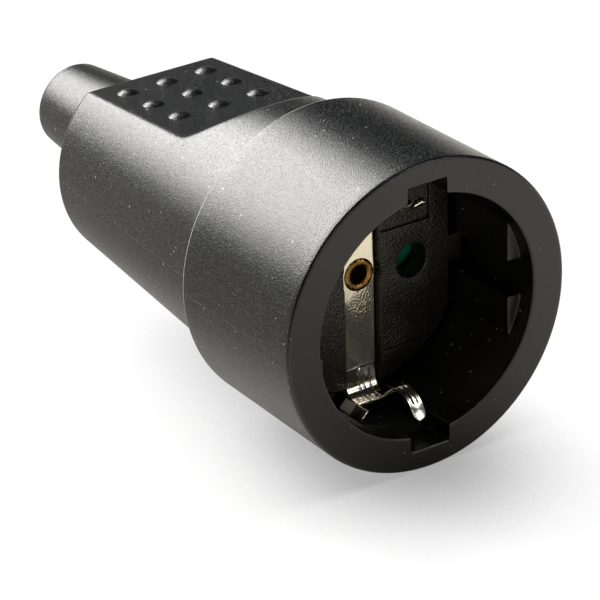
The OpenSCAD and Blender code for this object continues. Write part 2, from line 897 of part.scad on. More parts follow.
module insert_screws() {
    color([0.62, 0.62, 0.64])
        place()
            insert_screw_places()
                difference() {
                    union() {
                        drum(insert_screw_d / 2 - 0.02, base_y - insert_thread_in, insert_head_y + eps);
                        drum(insert_head_r, insert_head_y, insert_head_y + insert_head_h);
                    }
                    block([-insert_head_r - 1, insert_head_y + insert_head_h / 2, -driver_slot / 2],
                        [insert_head_r + 1, insert_head_y + insert_head_h + 1, driver_slot / 2]);
                }
}

saddle_low = clamp_open / 2;
saddle_high = cable_d / 2 + saddle_wall;
ear_top = saddle_low + saddle_ear;
saddle_arch_x = clamp_screw_pitch / 2 - clamp_head_d / 2 - loose;

module cord_clamp_saddle() {
    color([0.14, 0.14, 0.13])
        place()
            difference() {
                block([-clamp_w / 2, clamp_y, saddle_low], [clamp_w / 2, clamp_end, saddle_high]);
                drum(cable_d / 2, clamp_y - 1, clamp_end + 1);
                for (s = [-1, 1])
                    mirror([s < 0 ? 1 : 0, 0, 0])
                        block([saddle_arch_x, clamp_y - 1, ear_top],
                            [clamp_w, clamp_end + 1, saddle_high + 1]);
                clamp_screw_places()
                    cylinder(d = clamp_screw_d + 0.3, h = 30, center = true);
            }
}

module cord_clamp_screws() {
    color([0.62, 0.62, 0.64])
        place()
            clamp_screw_places()
                difference() {
                    union() {
                        translate([0, 0, rail_z + 0.5])
                            cylinder(d = clamp_screw_d, h = ear_top - rail_z - 0.5 + eps);
                        translate([0, 0, ear_top])
                            cylinder(d = clamp_head_d, h = clamp_head_h);
                    }
                    translate([-clamp_head_d, -driver_slot / 2, ear_top + clamp_head_h / 2])
                        cube([2 * clamp_head_d, driver_slot, 2]);
                }
}

housing();
contact_face();
insert_base();
shutter();
shutter_spring();
earth_strip();
earth_tongue_top();
earth_tongue_bottom();
centre_rivet();
line_contact();
neutral_contact();
line_contact_clip();
neutral_contact_clip();
line_terminal();
neutral_terminal();
earth_terminal();
line_terminal_screw();
neutral_terminal_screw();
earth_terminal_screw();
insert_screws();
cord_clamp_base();
cord_clamp_saddle();
cord_clamp_screws();
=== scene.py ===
"""Looks of a portable rubber socket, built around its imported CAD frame.

Sizes are in millimetres along the socket's own axis: y runs from the mouth plane to the cable end, x to the
right and z up from the axis. place() turns them into metres in the frame.
"""
import math

import bmesh
import bpy
import numpy as np
from mathutils import Matrix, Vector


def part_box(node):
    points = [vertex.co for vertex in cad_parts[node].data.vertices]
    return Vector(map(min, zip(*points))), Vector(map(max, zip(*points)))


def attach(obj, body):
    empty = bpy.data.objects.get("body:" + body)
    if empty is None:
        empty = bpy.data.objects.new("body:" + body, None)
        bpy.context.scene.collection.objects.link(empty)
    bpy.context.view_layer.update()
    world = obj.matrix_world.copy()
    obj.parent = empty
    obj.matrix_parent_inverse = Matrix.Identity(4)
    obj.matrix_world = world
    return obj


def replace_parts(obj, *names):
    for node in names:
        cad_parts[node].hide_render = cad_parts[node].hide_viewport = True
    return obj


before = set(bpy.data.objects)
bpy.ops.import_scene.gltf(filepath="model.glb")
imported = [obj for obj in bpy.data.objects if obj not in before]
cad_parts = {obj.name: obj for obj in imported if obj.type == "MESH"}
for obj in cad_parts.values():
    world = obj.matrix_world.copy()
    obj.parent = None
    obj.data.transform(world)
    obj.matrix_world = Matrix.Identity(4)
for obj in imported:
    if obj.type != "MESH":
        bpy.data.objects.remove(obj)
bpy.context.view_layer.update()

MM = 0.001
low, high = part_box("housing")
LENGTH = (high.y - low.y) / MM
MOUTH_R = (high.x - low.x) / 2 / MM
ORIGIN = np.array([0.0, low.y, (low.z + high.z) / 2])

# Sizes of the rubber body
RIM_EDGE = 0.55
RECESS_EDGE = 0.3
BARREL_LEN = 29.6
BARREL_BACK_R = 25.0
BARREL_EDGE = 0.6
BARREL_FOOT = 0.5
GRIP_FRONT_R = 22.3
GRIP_BACK_R = 18.2
GRIP_EDGE = 1.0
BACK_Y = 77.2
SLEEVE_BASE_R = 9.5
SLEEVE_FOOT = 1.0
SLEEVE_END_R = 7.3
SLEEVE_EDGE = 0.9
CABLE_R = 4.6
CABLE_EDGE = 0.3
RECESS_R = 19.7
SEAT_Y = 20.0
SEAT_R = 19.15
SEAT_END = 30.45
GROOVE_START = 26.25
GROOVE_END = 28.55
GROOVE_R = 20.45
SPACE_START = 30.5
SPACE_FRONT_R = 17.2
SPACE_BACK_R = 14.9
NOTCH_HALF = 3.6
NOTCH_REACH = 22.0
RIB_X = 17.2
RIB_GAP = 3.0
RIB_START = 3.1
POCKET_START = 5.4
POCKET_X = 9.0
POCKET_R = 23.0
FLAT_Z = 13.65
FLAT_SLOPE = math.tan(math.radians(4.8))
FLAT_LEN = 30.3
RAMP_SLOPE = math.tan(math.radians(36.3))
WALL = 3.0
BUMP_R = 1.8
BUMP_H = 0.6
BUMP_PITCH_X = 7.45
BUMP_PITCH_Y = 7.65
BUMP_BACK = 5.65


def place(points):
    """Millimetres along the socket's axis, as metres in the frame."""
    return np.asarray(points, float) * MM + ORIGIN


def mesh_object(name, verts, faces):
    """A smooth object from points in millimetres and a list of faces, added to the scene at the origin."""
    mesh = bpy.data.meshes.new(name)
    mesh.from_pydata(place(verts).tolist(), [], faces)
    mesh.polygons.foreach_set("use_smooth", np.ones(len(mesh.polygons), bool))
    mesh.update()
    piece = bpy.data.objects.new(name, mesh)
    bpy.context.scene.collection.objects.link(piece)
    return piece


def ring_faces(rows, columns, start=0, close_rows=False):
    """Quads of a grid whose columns close into rings, and whose rows may close into a torus."""
    last = rows if close_rows else rows - 1
    i, j = np.meshgrid(np.arange(last), np.arange(columns), indexing="ij")
    i2 = (i + 1) % rows
    j2 = (j + 1) % columns
    quads = np.stack([i * columns + j, i * columns + j2, i2 * columns + j2, i2 * columns + j], axis=-1)
    return (quads.reshape(-1, 4) + start).tolist()


def face_outwards(piece):
    """Points every face of a closed mesh outwards."""
    mesh = bmesh.new()
    mesh.from_mesh(piece.data)
    bmesh.ops.recalc_face_normals(mesh, faces=mesh.faces)
    mesh.to_mesh(piece.data)
    mesh.free()


# Shape of the rubber body

FINE_STEP = 0.05
FINE = np.radians(np.arange(0, 360, FINE_STEP))
# Radius at which a step of angle is turned into millimetres, and the least sine or cosine divided by
ARC_R = 20
LEAST = 1e-6


def soften(radius, width):
    """A radius round the axis, smoothed with a bell curve whose width is in millimetres."""
    step = np.radians(FINE_STEP) * ARC_R
    reach = int(3 * width / step) + 1
    k = np.exp(-0.5 * (np.arange(-reach, reach + 1) * step / width) ** 2)
    wrapped = np.concatenate([radius[-reach:], radius, radius[:reach]])
    return np.convolve(wrapped, k / k.sum(), mode="valid")


def line_at(distance, part):
    """Distance from the axis, along each angle, of a straight line at a distance from the axis. part is the
    sine or cosine of the angles."""
    return distance / np.maximum(np.abs(part), LEAST)


def recess_section(ribs=False, pocket=False):
    """Distance of the recess wall from the axis at each fine angle: a circle, widened by the two slots and
    perhaps the pockets, and perhaps narrowed by the ribs."""
    x, z = np.cos(FINE), np.sin(FINE)
    r = np.full(FINE.shape, RECESS_R)
    if ribs:
        r = np.minimum(r, np.maximum(line_at(RIB_X, x), line_at(RIB_GAP, z)))
    r = np.maximum(r, np.minimum(line_at(NOTCH_HALF, x), line_at(NOTCH_REACH, z)))
    if pocket:
        edge = line_at(np.where(x < 0, POCKET_X, NOTCH_HALF), x)
        steep = np.abs(z) > 0.6
        r = np.where(steep, np.maximum(r, np.minimum(edge, POCKET_R)), r)
    return soften(r, 0.09)


def crowded_angles():
    """Angles round the axis, closer together where ribs, slots, pockets and the thumb flats have edges."""
    quarter = [np.arange(0, 90, 1.6), np.arange(8.3, 10.6, 0.2), np.arange(28.4, 30.2, 0.35),
               np.arange(46, 54, 0.7), np.arange(62.4, 67.2, 0.4), np.arange(78.9, 81.3, 0.2)]
    least_step = 0.12
    a = np.unique(np.round(np.concatenate(quarter), 2))
    a = np.concatenate([[a[0]], a[1:][np.diff(a) > least_step]])
    return np.unique(np.round(np.radians(np.concatenate([a, 180 - a[1:], 180 + a[1:], 360 - a[2:]])), 6))


ANGLES = crowded_angles()


def at_angles(radius):
    """A radius on the fine angles, read off at the mesh's own angles."""
    return np.interp(ANGLES, np.append(FINE, 2 * math.pi), np.append(radius, radius[0]))


def flat_height(y):
    """Height of a thumb flat above the axis, or of its ramp nearer the barrel, with a soft knee between."""
    knee = BACK_Y - FLAT_LEN
    sharp = 3
    flat = FLAT_Z + (BACK_Y - y) * FLAT_SLOPE
    ramp = FLAT_Z + FLAT_LEN * FLAT_SLOPE + (knee - y) * RAMP_SLOPE
    return np.logaddexp(flat * sharp, ramp * sharp) / sharp if y < knee + 3 else flat


def grip_section(y, inset=0.0):
    """Distance of the grip's skin from the axis: its cone, cut by the thumb flats, with rounded edges."""
    sharp, far = 5.0, 60
    cone = GRIP_FRONT_R + (GRIP_BACK_R - GRIP_FRONT_R) * (y - BARREL_LEN) / (BACK_Y - BARREL_LEN)
    flat = np.minimum(line_at(flat_height(y) - inset, np.sin(FINE)), far)
    return -np.logaddexp(-np.full(FINE.shape, cone - inset) * sharp, -flat * sharp) / sharp


def arc(centre_r, centre_y, r, start, end, n=5):
    """Points (radius, y) of an arc between two angles in degrees."""
    a = np.radians(np.linspace(start, end, n))
    return [(centre_r + r * math.cos(t), centre_y + r * math.sin(t)) for t in a]


def rubber_rows():
    """Rows (y, radius at each angle) once round the rubber's section: up the recess to the mouth, over the
    rim, along barrel, grip and sleeve, and back through the passage and the wiring space."""
    plain = at_angles(recess_section())
    ribbed = at_angles(recess_section(ribs=True))
    deep = at_angles(recess_section(ribs=True, pocket=True))
    ones = np.ones(len(ANGLES))
    rows = []

    def add(y, r):
        rows.append((y, r * ones))

    def add_all(points):
        for r, y in points:
            add(y, r)

    def between(y0, y1, r0, r1, count):
        for t in np.linspace(0, 1, count):
            add(y0 + (y1 - y0) * t, r0 + (r1 - r0) * (t * t * (3 - 2 * t)))

    # The seat with its groove, and the recess
    wall = 0.05
    add_all([(SEAT_R, SEAT_END), (SEAT_R, GROOVE_END), (GROOVE_R, GROOVE_END - wall),
             (GROOVE_R, GROOVE_START + wall), (SEAT_R, GROOVE_START)])
    add(SEAT_Y + 0.02, SEAT_R)
    add(SEAT_Y - 0.02, deep)
    for y in np.linspace(19, POCKET_START + 0.25, 14):
        add(y, deep)
    between(POCKET_START + 0.1, POCKET_START - 0.1, deep, ribbed, 5)
    for y in np.linspace(POCKET_START - 0.3, RIB_START + 0.3, 3):
        add(y, ribbed)
    between(RIB_START + 0.14, RIB_START - 0.14, ribbed, plain, 6)
    for y in np.linspace(RIB_START - 0.4, 2 * RECESS_EDGE, 4):
        add(y, plain)
    for t in np.radians(np.linspace(0, 90, 5)):
        add(RECESS_EDGE - RECESS_EDGE * math.sin(t), plain + RECESS_EDGE * (1 - math.cos(t)))
    # The rim and the barrel
    rim_in = plain + RECESS_EDGE
    rim_out = MOUTH_R - RIM_EDGE
    for t in (0.08, 0.25, 0.5, 0.75, 0.92):
        add(0.0, rim_in + (rim_out - rim_in) * t)
    add_all(arc(rim_out, RIM_EDGE, RIM_EDGE, -90, 0, 7))
    for t in np.linspace(0.04, 0.96, 12):
        y = RIM_EDGE + (BARREL_LEN - 2 * BARREL_EDGE - RIM_EDGE) * t
        add(y, MOUTH_R + (BARREL_BACK_R - MOUTH_R) * (y / BARREL_LEN))
    add_all(arc(BARREL_BACK_R - BARREL_EDGE, BARREL_LEN - BARREL_EDGE, BARREL_EDGE, 0, 90, 7))
    add_all(arc(GRIP_FRONT_R + BARREL_FOOT, BARREL_LEN + BARREL_FOOT, BARREL_FOOT, 270, 180, 5))
    # The grip
    ramp_top = BACK_Y - FLAT_LEN - 9.5
    for y in np.concatenate([np.linspace(BARREL_LEN + 1.5, ramp_top, 8),
                             np.linspace(ramp_top + 0.4, BACK_Y - FLAT_LEN + 2.4, 28),
                             np.linspace(BACK_Y - FLAT_LEN + 3.4, BACK_Y - GRIP_EDGE - 0.3, 12)]):
        add(y, at_angles(grip_section(y)))
    for t in np.radians(np.linspace(0, 90, 8)):
        inset = GRIP_EDGE * (1 - math.cos(t))
        add(BACK_Y - GRIP_EDGE + GRIP_EDGE * math.sin(t), at_angles(grip_section(BACK_Y - GRIP_EDGE, inset)))
    back = at_angles(grip_section(BACK_Y - GRIP_EDGE, GRIP_EDGE))
    for t in (0.15, 0.4, 0.65, 0.85):
        add(BACK_Y, back + (SLEEVE_BASE_R + SLEEVE_FOOT - back) * t)
    # The sleeve and the cable's passage
    add_all(arc(SLEEVE_BASE_R + SLEEVE_FOOT, BACK_Y + SLEEVE_FOOT, SLEEVE_FOOT, 270, 180, 7))
    for t in np.linspace(0.06, 0.94, 9):
        y = BACK_Y + SLEEVE_FOOT + (LENGTH - SLEEVE_EDGE - BACK_Y - SLEEVE_FOOT) * t
        add(y, SLEEVE_BASE_R + (SLEEVE_END_R - SLEEVE_BASE_R) * t)
    add_all(arc(SLEEVE_END_R - SLEEVE_EDGE, LENGTH - SLEEVE_EDGE, SLEEVE_EDGE, 0, 90, 7))
    add_all(arc(CABLE_R + CABLE_EDGE, LENGTH - CABLE_EDGE, CABLE_EDGE, 90, 180, 4))
    for y in np.linspace(LENGTH - 2, BACK_Y - 3.9, 6):
        add(y, CABLE_R)
    # The wiring space, a cone under the thumb flats' wall
    space_end = BACK_Y - WALL - 1.2
    for y in np.linspace(space_end, SPACE_START, 16):
        cone = SPACE_FRONT_R + (SPACE_BACK_R - SPACE_FRONT_R) * (y - SPACE_START) / (space_end - SPACE_START)
        add(y, np.minimum(cone, line_at(flat_height(y) - WALL * 1.05, np.sin(ANGLES))))
    return rows


def rubber_body():
    """The housing as one closed surface: angle round the axis by distance along its section."""
    rows = rubber_rows()
    y = np.repeat(np.array([row[0] for row in rows])[:, None], len(ANGLES), axis=1)
    r = np.array([row[1] for row in rows])
    verts = np.stack([r * np.cos(ANGLES), y, r * np.sin(ANGLES)], axis=-1).reshape(-1, 3)
    piece = mesh_object("rubber_body", verts, ring_faces(len(rows), len(ANGLES), close_rows=True))
    face_outwards(piece)
    return piece


def bump_mesh(x, y, top):
    """One grip bump: a cap of a sphere with its foot rounded into the rubber, on a grid of rings."""
    sides, sunk, foot_out = 48, -0.4, 0.2
    cap_r = (BUMP_R ** 2 + BUMP_H ** 2) / (2 * BUMP_H)
    t = np.linspace(0, 1, 13)[1:] * (math.radians(90) - math.asin((cap_r - BUMP_H) / cap_r))
    foot_r = [BUMP_R + foot_out - 0.02, BUMP_R + foot_out, BUMP_R * 0.5]
    radius = np.concatenate([cap_r * np.sin(t), foot_r])[:, None]
    height = np.concatenate([cap_r * np.cos(t) - cap_r + BUMP_H, [-0.06, sunk, sunk]])[:, None]
    a = np.linspace(0, 2 * math.pi, sides, endpoint=False)
    rings = np.stack([radius * np.cos(a), radius * np.sin(a), np.repeat(height, sides, axis=1)], axis=-1)
    points = np.concatenate([rings.reshape(-1, 3), [[0, 0, BUMP_H], [0, 0, sunk]]])
    tilt = math.atan(FLAT_SLOPE)
    py = points[:, 1] * math.cos(tilt) + points[:, 2] * math.sin(tilt) + y
    pz = -points[:, 1] * math.sin(tilt) + points[:, 2] * math.cos(tilt) + FLAT_Z + (BACK_Y - y) * FLAT_SLOPE
    verts = np.stack([points[:, 0] + x, py, pz if top else -pz], axis=-1)
    n = len(radius)
    tip, base, last = n * sides, n * sides + 1, (n - 1) * sides
    faces = ring_faces(n, sides)
    faces += [[tip, j, (j + 1) % sides] for j in range(sides)]
    faces += [[base, last + (j + 1) % sides, last + j] for j in range(sides)]
    return verts, faces


def grip_bumps():
    """The nine bumps on each thumb flat, as one piece."""
    verts, faces = [], []
    start = 0
    for top in (True, False):
        for i in (-1, 0, 1):
            for j in range(3):
                v, f = bump_mesh(i * BUMP_PITCH_X, BACK_Y - BUMP_BACK - j * BUMP_PITCH_Y, top)
                faces += [[k + start for k in face] for face in f]
                verts.append(v)
                start += len(v)
    piece = mesh_object("grip_bumps", np.concatenate(verts), faces)
    face_outwards(piece)
    return piece


# Sheet metal of the earth contacts

SHEET = 0.7
STRIP_HALF = 2.9
STRIP_Y = 18.4
ARM_R = 20.15
BEND_R = 1.8
ARM_FRONT = 15.1
ARM_FRONT_TOP = 13.6
FOLD_Z = 15.75
BEAD_LINES = (-0.4, 0.42, 1.6)
LINE_WIDTH = 0.12
RIVET_R = 2.0
EAR_LEN = 5.2
EAR_BACK = 18.1
EAR_FOLD = 2.7
EAR_H = 2.1
EAR_SLOPE = math.radians(42)
TONGUE_X = 1.725
TONGUE_HALF = 1.175
TONGUE_SET = math.radians(17)
TONGUE_GAP = 0.15
TONGUE_RISE = math.radians(39)
TONGUE_RUN = 5.4
CREST_R = 2.0
CREST_END = math.radians(-15)
FALL_R = 4.8
FALL_END = math.radians(-78)


def smooth_step(value, start, end):
    """0 before start and 1 after end, with a soft climb between them."""
    t = np.clip((value - start) / (end - start), 0, 1)
    return t * t * (3 - 2 * t)


def sheet_rings(path, left, right, relief, count):
    """Points of a strip of sheet carried along a path: one closed ring at each station. The front of a ring
    is the path's point plus the relief along its normal, from the left to the right edge, then come a
    rounded edge, the back one thickness behind, and the other rounded edge. path has rows (y, z, normal y,
    normal z)."""
    corner = 0.13
    left, right = left[:, None], right[:, None]
    x_front = left + corner + (right - left - 2 * corner) * np.linspace(0, 1, count)
    side_x = corner * np.sin(np.radians([45, 90, 90, 135, 180]))
    slanted = corner - corner * math.cos(math.radians(45))
    side_h = np.array([slanted, corner, SHEET - corner, SHEET - slanted, SHEET])
    rows = len(path)
    x = np.concatenate([x_front, right - corner + side_x, (left + right) / 2,
                        left + corner - side_x[::-1]], axis=1)
    height = np.concatenate([relief(x_front), np.repeat(-side_h[None], rows, 0), np.full((rows, 1), -SHEET),
                             np.repeat(-side_h[::-1][None], rows, 0)], axis=1)
    y = path[:, 0:1] + path[:, 2:3] * height
    z = path[:, 1:2] + path[:, 3:4] * height
    return np.stack([x, y, z], axis=-1)


def tube_with_ends(rings, start=0):
    """Faces of a tube of rings and of its two flat ends."""
    rows, columns = rings.shape[:2]
    last = start + (rows - 1) * columns
    ends = [list(range(start, start + columns))[::-1], list(range(last, last + columns))]
    return ring_faces(rows, columns, start) + ends


def strip_path(front):
    """Half of the earth strip from the side: back along its arm, round the bend and down to the axis."""
    step = 0.12
    arm = np.insert(np.arange(front, STRIP_Y - BEND_R, step), 1, front + 0.02)
    bend = np.radians(np.linspace(0, 90, 26))
    down = np.arange(ARM_R - BEND_R - step, 0.0, -step)
    one, zero = np.ones_like, np.zeros_like
    return np.concatenate([
        np.stack([arm, ARM_R * one(arm), zero(arm), -one(arm)], axis=-1),
        np.stack([STRIP_Y - BEND_R + BEND_R * np.sin(bend), ARM_R - BEND_R + BEND_R * np.cos(bend),
                  -np.sin(bend), -np.cos(bend)], axis=-1),
        np.stack([STRIP_Y * one(down), down, -one(down), zero(down)], axis=-1)])


def earth_strip():
    """The strip from one arm's front end to the other's. Its relief is a slight rise at the middle, a fold
    line beyond which it leans forward, three pressed lines from there round the bend and along the arm, and
    a small dimple at their start."""
    top = strip_path(ARM_FRONT_TOP)
    bottom = strip_path(ARM_FRONT)[::-1] * [1, -1, 1, -1]
    path = np.concatenate([top, bottom])
    reach = np.abs(path[:, 1:2])
    deep = path[:, 0:1]

    def relief(x):
        lean = 0.2 * smooth_step(reach, FOLD_Z, 18.6) * smooth_step(deep, 16.2, 17.6)
        crease = 0.06 * np.exp(-((reach - FOLD_Z) / 0.1) ** 2)
        lines = sum(np.exp(-((x - line) / LINE_WIDTH) ** 2) for line in BEAD_LINES)
        pressed = 0.17 * lines * smooth_step(reach, 16.5, 17.3)
        dimple = 0.16 * np.exp(-((x + 0.15) ** 2 + (reach - 16.35) ** 2) / 0.05)
        rise = 0.1 * np.exp(-(reach / 6) ** 2)
        return lean + crease - pressed + dimple + rise

    half = np.full(len(path), STRIP_HALF)
    rings = sheet_rings(path, -half, half, relief, 121)
    verts, faces = [rings.reshape(-1, 3)], tube_with_ends(rings)
    start = len(verts[0])
    for s in (1, -1):
        ear = ear_rings(s)
        verts.append(ear.reshape(-1, 3))
        faces += tube_with_ends(ear, start)
        start += len(verts[-1])
    piece = mesh_object("earth_strip_sheet", np.concatenate(verts), faces)
    face_outwards(piece)
    drilled(piece, RIVET_R + 0.05, STRIP_Y - 1, STRIP_Y + 2)
    return piece


def drilled(piece, radius, y0, y1):
    """Cuts a round hole along the axis through a piece: a cylinder on 64 sides, taken away from it."""
    sides = 64
    a = np.linspace(0, 2 * math.pi, sides, endpoint=False)
    ends = [np.stack([radius * np.cos(a), np.full(sides, y), radius * np.sin(a)], axis=-1) for y in (y0, y1)]
    cutter = mesh_object("cutter", np.concatenate(ends), tube_with_ends(np.array(ends)))
    face_outwards(cutter)
    cut = piece.modifiers.new("hole", "BOOLEAN")
    cut.operation = "DIFFERENCE"
    cut.solver = "EXACT"
    cut.object = cutter
    shaped = bpy.data.meshes.new_from_object(piece.evaluated_get(bpy.context.evaluated_depsgraph_get()))
    piece.modifiers.clear()
    piece.data = shaped
    bpy.data.objects.remove(cutter)


def ear_rings(s):
    """A side ear: a strip of sheet along the axis that slopes outwards, with a pressed line across it and
    its front half bent back. s is 1 for the upper ear and -1 for the lower one."""
    columns = 14
    y = np.linspace(EAR_BACK - EAR_LEN, EAR_BACK, 60)[:, None]
    across = np.linspace(0, EAR_H, columns)
    ridge = 0.1 * np.exp(-((y - EAR_BACK + 2.6) / 0.22) ** 2)
    furrow = 0.1 * np.exp(-((y - EAR_BACK + 3.05) / 0.16) ** 2)
    bent = 0.5 * smooth_step(y, EAR_BACK - 5.3, EAR_BACK - 2.9) - 0.5
    corner = np.array([0.12, 0.03] + [0.0] * (columns - 4) + [0.03, 0.12])
    height = ridge - furrow + bent - corner
    foot_x = -STRIP_HALF - across * math.sin(EAR_SLOPE)
    foot_z = ARM_R + across * math.cos(EAR_SLOPE)
    back_x = np.broadcast_to(foot_x + SHEET * math.cos(EAR_SLOPE), height.shape)
    back_z = np.broadcast_to(foot_z + SHEET * math.sin(EAR_SLOPE), height.shape)
    x = np.concatenate([foot_x - height * math.cos(EAR_SLOPE), back_x[:, ::-1]], axis=1)
    z = np.concatenate([foot_z - height * math.sin(EAR_SLOPE), back_z[:, ::-1]], axis=1)
    return np.stack([x, np.repeat(y, 2 * columns, axis=1), z * s], axis=-1)


def tongue_stations():
    """A contact tongue from the side, as rows (y, distance from the axis, heading): a straight rise from its
    root, an arc over its crest and a wider arc down to its tip, each point a step on along the heading."""
    root = np.array([ARM_FRONT - SHEET / 2 - TONGUE_GAP, ARM_R + TONGUE_GAP])
    ahead = np.array([math.cos(TONGUE_RISE), math.sin(TONGUE_RISE)])
    run = np.linspace(0, TONGUE_RUN, 28)[:-1, None]
    parts = [np.hstack([root - run * ahead, np.full(run.shape, TONGUE_RISE)])]
    y, r = root - TONGUE_RUN * ahead
    for radius, a, b in ((CREST_R, TONGUE_RISE, CREST_END), (FALL_R, CREST_END, FALL_END)):
        h = np.linspace(a, b, 25)
        yy = y - radius * (math.sin(a) - np.sin(h))
        rr = r - radius * (np.cos(h) - math.cos(a))
        parts.append(np.stack([yy, rr, h], axis=-1)[:-1])
        y, r = yy[-1], rr[-1]
    return np.concatenate(parts + [[[y, r, FALL_END]]])


def earth_tongue(name, s):
    """A tongue as a strip of sheet with a rounded tip, and two pressed lines that end before it. The upper
    one (s = 1) is turned in about its root and stands further forward."""
    line = tongue_stations()
    root = line[0, :2].copy()
    if s > 0:
        c, d = math.cos(TONGUE_SET), math.sin(TONGUE_SET)
        off = line[:, :2] - root
        line[:, 0] = root[0] + off[:, 0] * c - off[:, 1] * d + ARM_FRONT_TOP - ARM_FRONT
        line[:, 1] = root[1] + off[:, 0] * d + off[:, 1] * c
        line[:, 2] += TONGUE_SET
    length = np.concatenate([[0], np.cumsum(np.hypot(*np.diff(line[:, :2], axis=0).T))])
    end = length[-1]
    tip = end - TONGUE_HALF + TONGUE_HALF * np.sin(np.radians(np.linspace(-5, 88, 18)))
    fine = np.concatenate([np.arange(0, end - 1.3, 0.12), tip])
    y, r, h = (np.interp(fine, length, line[:, i]) for i in range(3))
    path = np.stack([y + SHEET / 2 * np.sin(h), s * (r - SHEET / 2 * np.cos(h)),
                     np.sin(h), -s * np.cos(h)], axis=-1)
    past = np.clip((fine - (end - TONGUE_HALF)) / TONGUE_HALF, 0, 0.9995)
    half = np.maximum(TONGUE_HALF * np.sqrt(1 - past ** 2), 0.16)
    far = fine[:, None]

    def relief(x):
        lines = sum(np.exp(-((x - TONGUE_X - side) / LINE_WIDTH) ** 2) for side in (-0.42, 0.42))
        pressed = 0.2 * lines * (1 - smooth_step(far, end - 3.1, end - 2.3))
        crown = 0.1 * np.cos((x - TONGUE_X) * 1.3) - 0.1
        return crown + 0.3 * smooth_step(far, end - 3, end + 1) - pressed

    rings = sheet_rings(path, TONGUE_X - half, TONGUE_X + half, relief, 61)
    piece = mesh_object(name, rings.reshape(-1, 3), tube_with_ends(rings))
    face_outwards(piece)
    return piece


def bevelled(node, width):
    """A copy of a CAD node that takes its place, with its points merged and its edges rounded by a width in
    millimetres."""
    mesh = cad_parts[node].data.copy()
    mesh.name = node + "_rounded"
    work = bmesh.new()
    work.from_mesh(mesh)
    bmesh.ops.remove_doubles(work, verts=work.verts, dist=0.002 * MM)
    bmesh.ops.dissolve_limit(work, angle_limit=math.radians(0.4), verts=work.verts, edges=work.edges)
    work.to_mesh(mesh)
    work.free()
    mesh.polygons.foreach_set("use_smooth", np.ones(len(mesh.polygons), bool))
    piece = bpy.data.objects.new(node + "_piece", mesh)
    bpy.context.scene.collection.objects.link(piece)
    bevel = piece.modifiers.new("rounded edges", "BEVEL")
    bevel.width = width * MM
    bevel.segments = 2
    bevel.limit_method = "ANGLE"
    bevel.angle_limit = math.radians(32)
    bevel.harden_normals = True
    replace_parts(piece, node)
    return piece


# Materials

# The axis's height and the mouth plane in the frame, in metres, and the rim's depth in millimetres
AXIS_Z = float(ORIGIN[2])
MOUTH_Y = float(ORIGIN[1])
RIM_DEPTH = 0.6


def new_material(name, colour, roughness, metallic=0.0):
    """A new material, with its node tree and its shader."""
    material = bpy.data.materials.new(name)
    material.use_nodes = True
    shader = material.node_tree.nodes["Principled BSDF"]
    shader.inputs["Base Color"].default_value = (*colour, 1)
    shader.inputs["Roughness"].default_value = roughness
    shader.inputs["Metallic"].default_value = metallic
    return material, material.node_tree, shader


def maths(tree, kind, *values):
    """A maths node whose inputs are numbers or other nodes' outputs."""
    node = tree.nodes.new("ShaderNodeMath")
    node.operation = kind
    for socket, value in zip(node.inputs, values):
        if isinstance(value, (int, float)):
            socket.default_value = value
        else:
            tree.links.new(value, socket)
    return node.outputs[0]


def node_group(name, inputs, outputs):
    """A node group with sockets of the given names and kinds, and its two end nodes."""
    group = bpy.data.node_groups.new(name, "ShaderNodeTree")
    for way, sockets in (("INPUT", inputs), ("OUTPUT", outputs)):
        for title, kind in sockets:
            group.interface.new_socket(title, in_out=way, socket_type="NodeSocket" + kind)
    return group, group.nodes.new("NodeGroupInput").outputs, group.nodes.new("NodeGroupOutput").inputs


def noise_at(tree, where, scale, detail):
    """A noise texture on a place, with a number or another node's output for its scale."""
    noise = tree.nodes.new("ShaderNodeTexNoise")
    noise.inputs["Detail"].default_value = detail
    tree.links.new(where, noise.inputs["Vector"])
    if isinstance(scale, (int, float)):
        noise.inputs["Scale"].default_value = scale
    else:
        tree.links.new(scale, noise.inputs["Scale"])
    return noise


def object_place(tree):
    """Object coordinates, and their x, y and z."""
    where = tree.nodes.new("ShaderNodeTexCoord").outputs["Object"]
    axes = tree.nodes.new("ShaderNodeSeparateXYZ")
    tree.links.new(where, axes.inputs[0])
    return where, *axes.outputs


